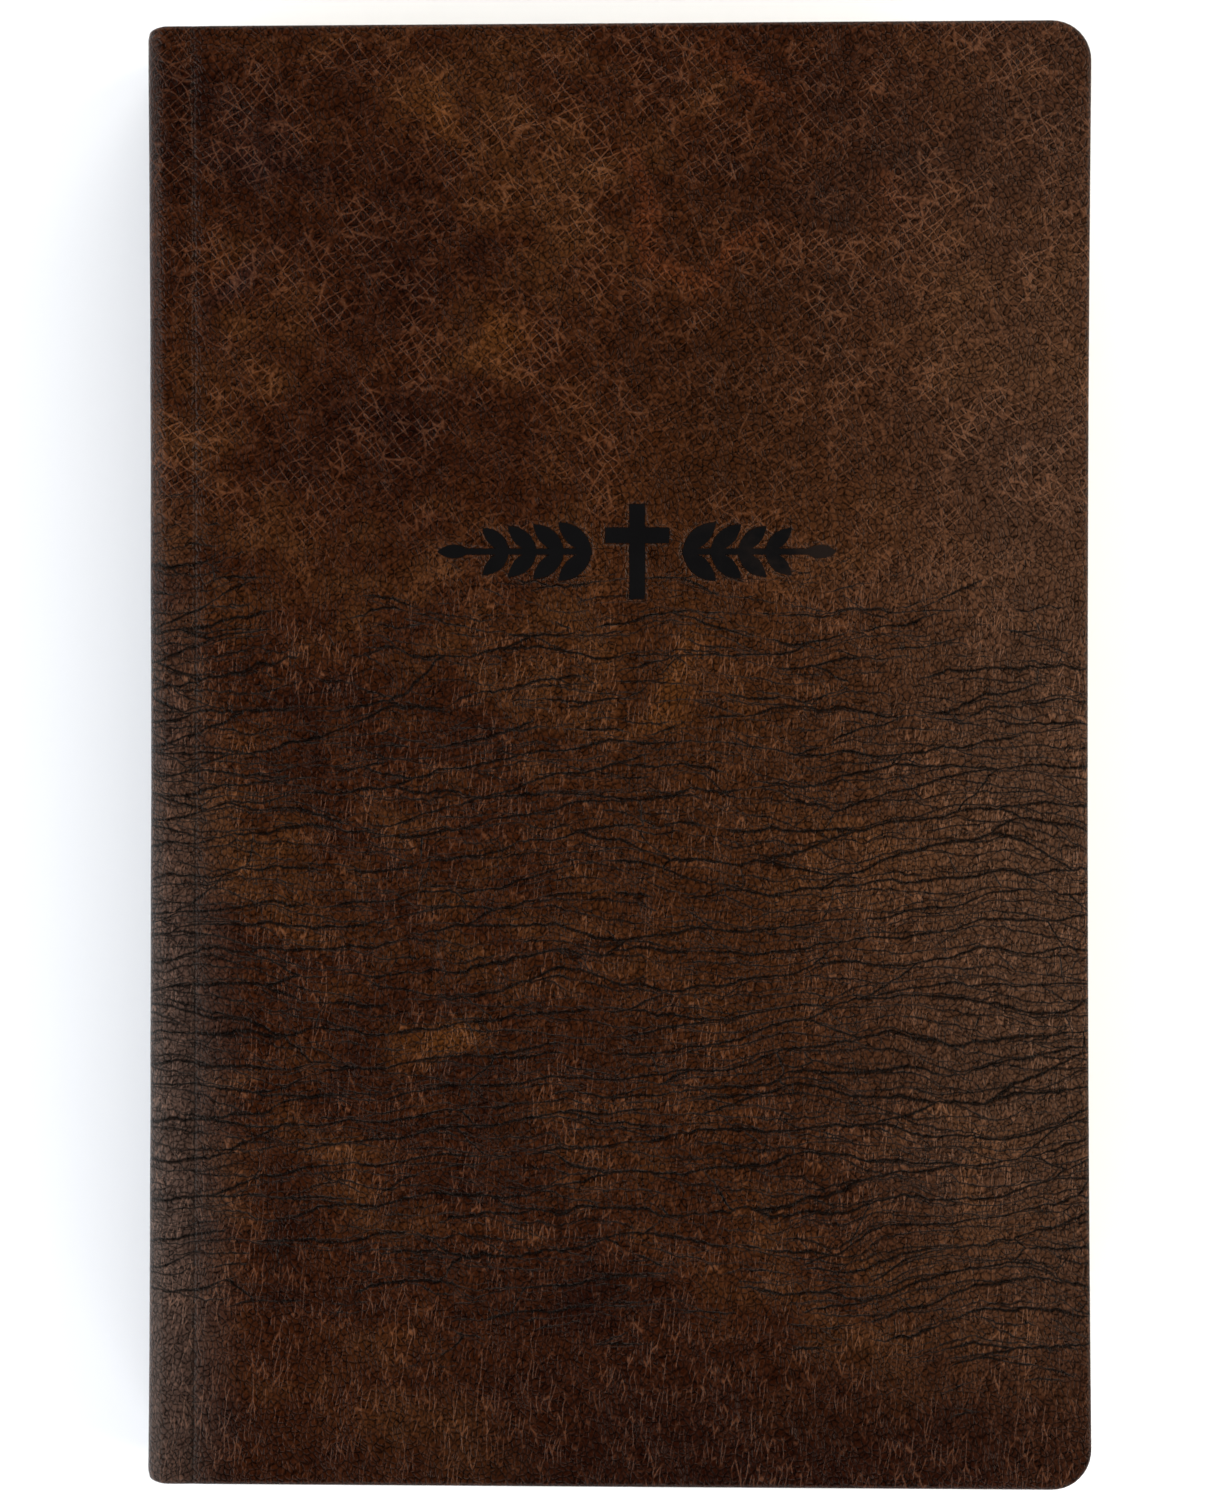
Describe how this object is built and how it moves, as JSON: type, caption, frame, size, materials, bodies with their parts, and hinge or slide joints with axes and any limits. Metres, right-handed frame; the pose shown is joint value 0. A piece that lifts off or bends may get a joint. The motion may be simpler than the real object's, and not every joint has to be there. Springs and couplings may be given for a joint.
{
  "type": "bible",
  "caption": "Slim Bible in a flexible brown leather-look cover with rounded fore-edge corners, sewn leaves and a black debossed emblem; it opens at the middle and at both covers.",
  "frame": {"origin": "centre of the back cover's underside, on the surface that the closed book lies on", "axes": "+X from the spine to the fore edge, +Y from the tail to the head, +Z from the back cover up to the front cover"},
  "size_m": [0.14, 0.216, 0.025],
  "materials": {
    "leather": "satin",
    "foil": "satin",
    "card": "matte",
    "endpaper": "matte",
    "page_paper": "matte",
    "lining_paper": "matte",
    "mull_cloth": "matte",
    "dried_glue": "satin",
    "band_cloth": "matte",
    "linen_thread": "matte"
  },
  "bodies": {
    "back_block": {"back_spine_skin": "leather", "back_spine_inlay": "card", "back_spine_lining": "lining_paper", "back_mull": "mull_cloth", "back_spine_glue": "dried_glue", "back_head_band": "band_cloth", "back_tail_band": "band_cloth", "back_endpaper_fold": "endpaper", "back_sewing_thread_1": "linen_thread", "back_sewing_thread_2": "linen_thread", "back_sewing_thread_3": "linen_thread", "back_sewing_thread_4": "linen_thread", "signature_24": "page_paper"},
    "front_block": {"front_spine_skin": "leather", "front_spine_inlay": "card", "front_spine_lining": "lining_paper", "front_mull": "mull_cloth", "front_spine_glue": "dried_glue", "front_head_band": "band_cloth", "front_tail_band": "band_cloth", "front_endpaper_fold": "endpaper", "front_sewing_thread_1": "linen_thread", "front_sewing_thread_2": "linen_thread", "front_sewing_thread_3": "linen_thread", "front_sewing_thread_4": "linen_thread", "signature_01": "page_paper"},
    "front_cover": {"front_cover_skin": "leather", "front_board": "card", "front_pastedown": "endpaper", "emblem_cross": "foil", "emblem_branch_left": "foil", "emblem_branch_right": "foil"},
    "back_cover": {"back_cover_skin": "leather", "back_board": "card", "back_pastedown": "endpaper"},
    "front_flyleaf": {"front_flyleaf": "endpaper"},
    "back_flyleaf": {"back_flyleaf": "endpaper"},
    "leaves_02": {"signature_02": "page_paper"},
    "leaves_23": {"signature_23": "page_paper"},
    "leaves_03": {"signature_03": "page_paper"},
    "leaves_22": {"signature_22": "page_paper"},
    "leaves_04": {"signature_04": "page_paper"},
    "leaves_21": {"signature_21": "page_paper"},
    "leaves_05": {"signature_05": "page_paper"},
    "leaves_20": {"signature_20": "page_paper"},
    "leaves_06": {"signature_06": "page_paper"},
    "leaves_19": {"signature_19": "page_paper"},
    "leaves_07": {"signature_07": "page_paper"},
    "leaves_18": {"signature_18": "page_paper"},
    "leaves_08": {"signature_08": "page_paper"},
    "leaves_17": {"signature_17": "page_paper"},
    "leaves_09": {"signature_09": "page_paper"},
    "leaves_16": {"signature_16": "page_paper"},
    "leaves_10": {"signature_10": "page_paper"},
    "leaves_15": {"signature_15": "page_paper"},
    "leaves_11": {"signature_11": "page_paper"},
    "leaves_14": {"signature_14": "page_paper"},
    "leaves_12": {"signature_12": "page_paper"},
    "leaves_13": {"signature_13": "page_paper"}
  },
  "joints": [
    {"name": "opening_hinge", "type": "hinge", "parent": "back_block", "child": "front_block", "pos_m": [-0.07015, 0, 0.0125], "axis": [0, -1, 0], "range_deg": [0, 180]},
    {"name": "front_cover_hinge", "type": "hinge", "parent": "front_block", "child": "front_cover", "pos_m": [-0.06265, 0, 0.02515], "axis": [0, 1, 0], "range_deg": [-180, 0]},
    {"name": "back_cover_hinge", "type": "hinge", "parent": "back_block", "child": "back_cover", "pos_m": [-0.06265, 0, -0.0015], "axis": [0, -1, 0], "range_deg": [-180, 0]},
    {"name": "front_flyleaf_hinge", "type": "hinge", "parent": "front_block", "child": "front_flyleaf", "pos_m": [-0.06265, 0, 0.02515], "axis": [0, 1, 0], "range_deg": [-177.5, 0]},
    {"name": "back_flyleaf_hinge", "type": "hinge", "parent": "back_block", "child": "back_flyleaf", "pos_m": [-0.06265, 0, -0.0015], "axis": [0, -1, 0], "range_deg": [-177.5, 0]},
    {"name": "leaves_02_hinge", "type": "hinge", "parent": "back_block", "child": "leaves_02", "pos_m": [-0.07015, 0, 0.0125], "axis": [0, -1, 0], "range_deg": [0, 179.8]},
    {"name": "leaves_23_hinge", "type": "hinge", "parent": "back_block", "child": "leaves_23", "pos_m": [-0.07015, 0, 0.0125], "axis": [0, -1, 0], "range_deg": [0, 0.2]},
    {"name": "leaves_03_hinge", "type": "hinge", "parent": "back_block", "child": "leaves_03", "pos_m": [-0.07015, 0, 0.0125], "axis": [0, -1, 0], "range_deg": [0, 179.6]},
    {"name": "leaves_22_hinge", "type": "hinge", "parent": "back_block", "child": "leaves_22", "pos_m": [-0.07015, 0, 0.0125], "axis": [0, -1, 0], "range_deg": [0, 0.4]},
    {"name": "leaves_04_hinge", "type": "hinge", "parent": "back_block", "child": "leaves_04", "pos_m": [-0.07015, 0, 0.0125], "axis": [0, -1, 0], "range_deg": [0, 179.4]},
    {"name": "leaves_21_hinge", "type": "hinge", "parent": "back_block", "child": "leaves_21", "pos_m": [-0.07015, 0, 0.0125], "axis": [0, -1, 0], "range_deg": [0, 0.6]},
    {"name": "leaves_05_hinge", "type": "hinge", "parent": "back_block", "child": "leaves_05", "pos_m": [-0.07015, 0, 0.0125], "axis": [0, -1, 0], "range_deg": [0, 179.2]},
    {"name": "leaves_20_hinge", "type": "hinge", "parent": "back_block", "child": "leaves_20", "pos_m": [-0.07015, 0, 0.0125], "axis": [0, -1, 0], "range_deg": [0, 0.8]},
    {"name": "leaves_06_hinge", "type": "hinge", "parent": "back_block", "child": "leaves_06", "pos_m": [-0.07015, 0, 0.0125], "axis": [0, -1, 0], "range_deg": [0, 179]},
    {"name": "leaves_19_hinge", "type": "hinge", "parent": "back_block", "child": "leaves_19", "pos_m": [-0.07015, 0, 0.0125], "axis": [0, -1, 0], "range_deg": [0, 1]},
    {"name": "leaves_07_hinge", "type": "hinge", "parent": "back_block", "child": "leaves_07", "pos_m": [-0.07015, 0, 0.0125], "axis": [0, -1, 0], "range_deg": [0, 178.8]},
    {"name": "leaves_18_hinge", "type": "hinge", "parent": "back_block", "child": "leaves_18", "pos_m": [-0.07015, 0, 0.0125], "axis": [0, -1, 0], "range_deg": [0, 1.2]},
    {"name": "leaves_08_hinge", "type": "hinge", "parent": "back_block", "child": "leaves_08", "pos_m": [-0.07015, 0, 0.0125], "axis": [0, -1, 0], "range_deg": [0, 178.6]},
    {"name": "leaves_17_hinge", "type": "hinge", "parent": "back_block", "child": "leaves_17", "pos_m": [-0.07015, 0, 0.0125], "axis": [0, -1, 0], "range_deg": [0, 1.4]},
    {"name": "leaves_09_hinge", "type": "hinge", "parent": "back_block", "child": "leaves_09", "pos_m": [-0.07015, 0, 0.0125], "axis": [0, -1, 0], "range_deg": [0, 178.4]},
    {"name": "leaves_16_hinge", "type": "hinge", "parent": "back_block", "child": "leaves_16", "pos_m": [-0.07015, 0, 0.0125], "axis": [0, -1, 0], "range_deg": [0, 1.6]},
    {"name": "leaves_10_hinge", "type": "hinge", "parent": "back_block", "child": "leaves_10", "pos_m": [-0.07015, 0, 0.0125], "axis": [0, -1, 0], "range_deg": [0, 178.2]},
    {"name": "leaves_15_hinge", "type": "hinge", "parent": "back_block", "child": "leaves_15", "pos_m": [-0.07015, 0, 0.0125], "axis": [0, -1, 0], "range_deg": [0, 1.8]},
    {"name": "leaves_11_hinge", "type": "hinge", "parent": "back_block", "child": "leaves_11", "pos_m": [-0.07015, 0, 0.0125], "axis": [0, -1, 0], "range_deg": [0, 178]},
    {"name": "leaves_14_hinge", "type": "hinge", "parent": "back_block", "child": "leaves_14", "pos_m": [-0.07015, 0, 0.0125], "axis": [0, -1, 0], "range_deg": [0, 2]},
    {"name": "leaves_12_hinge", "type": "hinge", "parent": "back_block", "child": "leaves_12", "pos_m": [-0.07015, 0, 0.0125], "axis": [0, -1, 0], "range_deg": [0, 177.8]},
    {"name": "leaves_13_hinge", "type": "hinge", "parent": "back_block", "child": "leaves_13", "pos_m": [-0.07015, 0, 0.0125], "axis": [0, -1, 0], "range_deg": [0, 2.2]}
  ],
  "couplings": [
    {"joint": "front_flyleaf_hinge", "follows": "front_cover_hinge", "ratio": 0.986},
    {"joint": "back_flyleaf_hinge", "follows": "back_cover_hinge", "ratio": 0.986},
    {"joint": "leaves_02_hinge", "follows": "opening_hinge", "ratio": 0.99889},
    {"joint": "leaves_23_hinge", "follows": "opening_hinge", "ratio": 0.001111},
    {"joint": "leaves_03_hinge", "follows": "opening_hinge", "ratio": 0.99778},
    {"joint": "leaves_22_hinge", "follows": "opening_hinge", "ratio": 0.002222},
    {"joint": "leaves_04_hinge", "follows": "opening_hinge", "ratio": 0.99666},
    {"joint": "leaves_21_hinge", "follows": "opening_hinge", "ratio": 0.003333},
    {"joint": "leaves_05_hinge", "follows": "opening_hinge", "ratio": 0.99555},
    {"joint": "leaves_20_hinge", "follows": "opening_hinge", "ratio": 0.004444},
    {"joint": "leaves_06_hinge", "follows": "opening_hinge", "ratio": 0.99444},
    {"joint": "leaves_19_hinge", "follows": "opening_hinge", "ratio": 0.005555},
    {"joint": "leaves_07_hinge", "follows": "opening_hinge", "ratio": 0.99333},
    {"joint": "leaves_18_hinge", "follows": "opening_hinge", "ratio": 0.006666},
    {"joint": "leaves_08_hinge", "follows": "opening_hinge", "ratio": 0.99222},
    {"joint": "leaves_17_hinge", "follows": "opening_hinge", "ratio": 0.007777},
    {"joint": "leaves_09_hinge", "follows": "opening_hinge", "ratio": 0.9911},
    {"joint": "leaves_16_hinge", "follows": "opening_hinge", "ratio": 0.008888},
    {"joint": "leaves_10_hinge", "follows": "opening_hinge", "ratio": 0.98999},
    {"joint": "leaves_15_hinge", "follows": "opening_hinge", "ratio": 0.009999},
    {"joint": "leaves_11_hinge", "follows": "opening_hinge", "ratio": 0.98888},
    {"joint": "leaves_14_hinge", "follows": "opening_hinge", "ratio": 0.01111},
    {"joint": "leaves_12_hinge", "follows": "opening_hinge", "ratio": 0.98777},
    {"joint": "leaves_13_hinge", "follows": "opening_hinge", "ratio": 0.012221}
  ]
}
